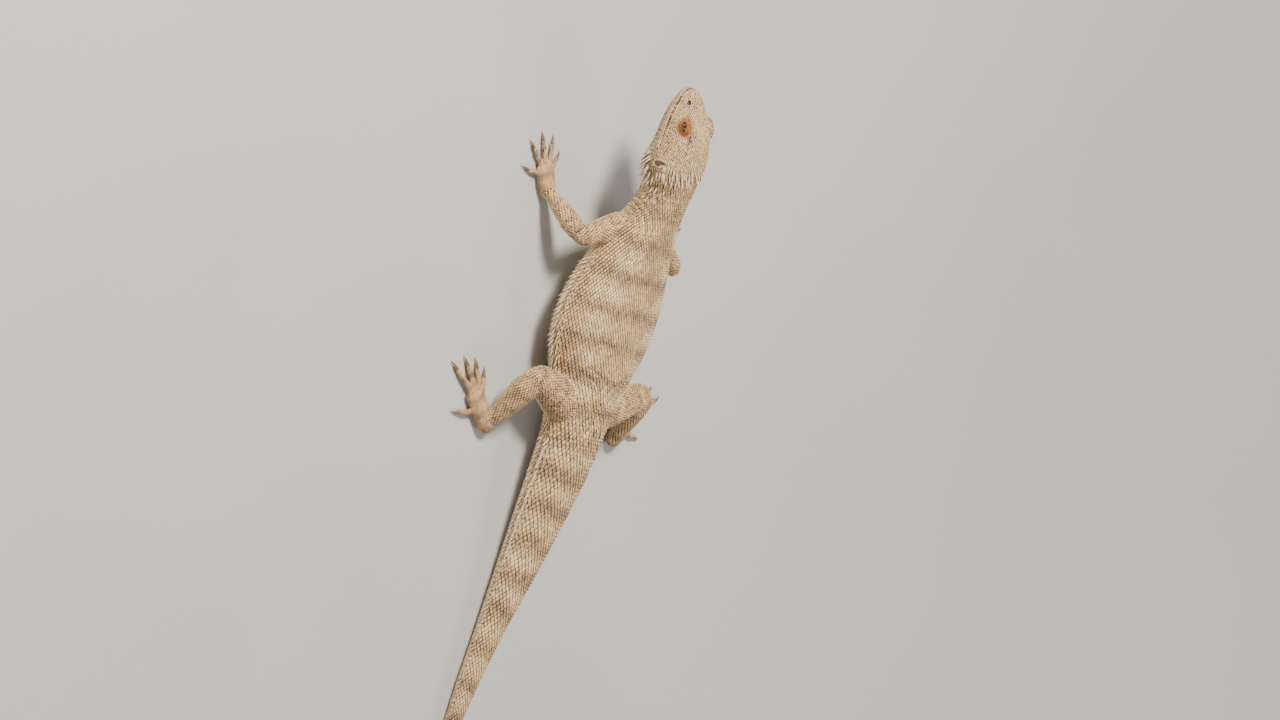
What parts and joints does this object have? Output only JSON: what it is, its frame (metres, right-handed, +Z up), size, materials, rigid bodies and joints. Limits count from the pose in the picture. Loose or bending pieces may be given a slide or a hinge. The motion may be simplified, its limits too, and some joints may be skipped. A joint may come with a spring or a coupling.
{
  "type": "lizard model",
  "caption": "Life-size central bearded dragon standing on its four feet, with its head raised and its tail laid on the floor.",
  "frame": {"origin": "on the floor under the middle of the animal's bounding box", "axes": "+Z up, the head towards -Y and the tail towards +Y, +X to the animal's left"},
  "size_m": [0.1954, 0.4564, 0.0678],
  "materials": {
    "skin": "dry keeled scales, sandy brown to cream, matt",
    "horn": "amber horn of the claws, slightly shiny",
    "eye": "wet, golden brown iris round a dark pupil",
    "eardrum": "thin smooth skin, dull"
  },
  "bodies": {
    "root": {"head": "skin", "jaw_and_beard": "skin", "neck": "skin", "chest": "skin", "belly": "skin", "tail_base": "skin", "tail_middle": "skin", "tail_end": "skin", "upper_arm_left": "skin", "upper_arm_right": "skin", "forearm_left": "skin", "forearm_right": "skin", "hand_left": "skin", "hand_right": "skin", "thigh_left": "skin", "thigh_right": "skin", "shin_left": "skin", "shin_right": "skin", "foot_left": "skin", "foot_right": "skin", "claw_hand_left_1": "horn", "claw_hand_left_2": "horn", "claw_hand_left_3": "horn", "claw_hand_left_4": "horn", "claw_hand_left_5": "horn", "claw_hand_right_1": "horn", "claw_hand_right_2": "horn", "claw_hand_right_3": "horn", "claw_hand_right_4": "horn", "claw_hand_right_5": "horn", "claw_foot_left_1": "horn", "claw_foot_left_2": "horn", "claw_foot_left_3": "horn", "claw_foot_left_4": "horn", "claw_foot_left_5": "horn", "claw_foot_right_1": "horn", "claw_foot_right_2": "horn", "claw_foot_right_3": "horn", "claw_foot_right_4": "horn", "claw_foot_right_5": "horn", "eye_left": "eye", "eye_right": "eye", "eardrum_left": "eardrum", "eardrum_right": "eardrum"}
  },
  "joints": []
}
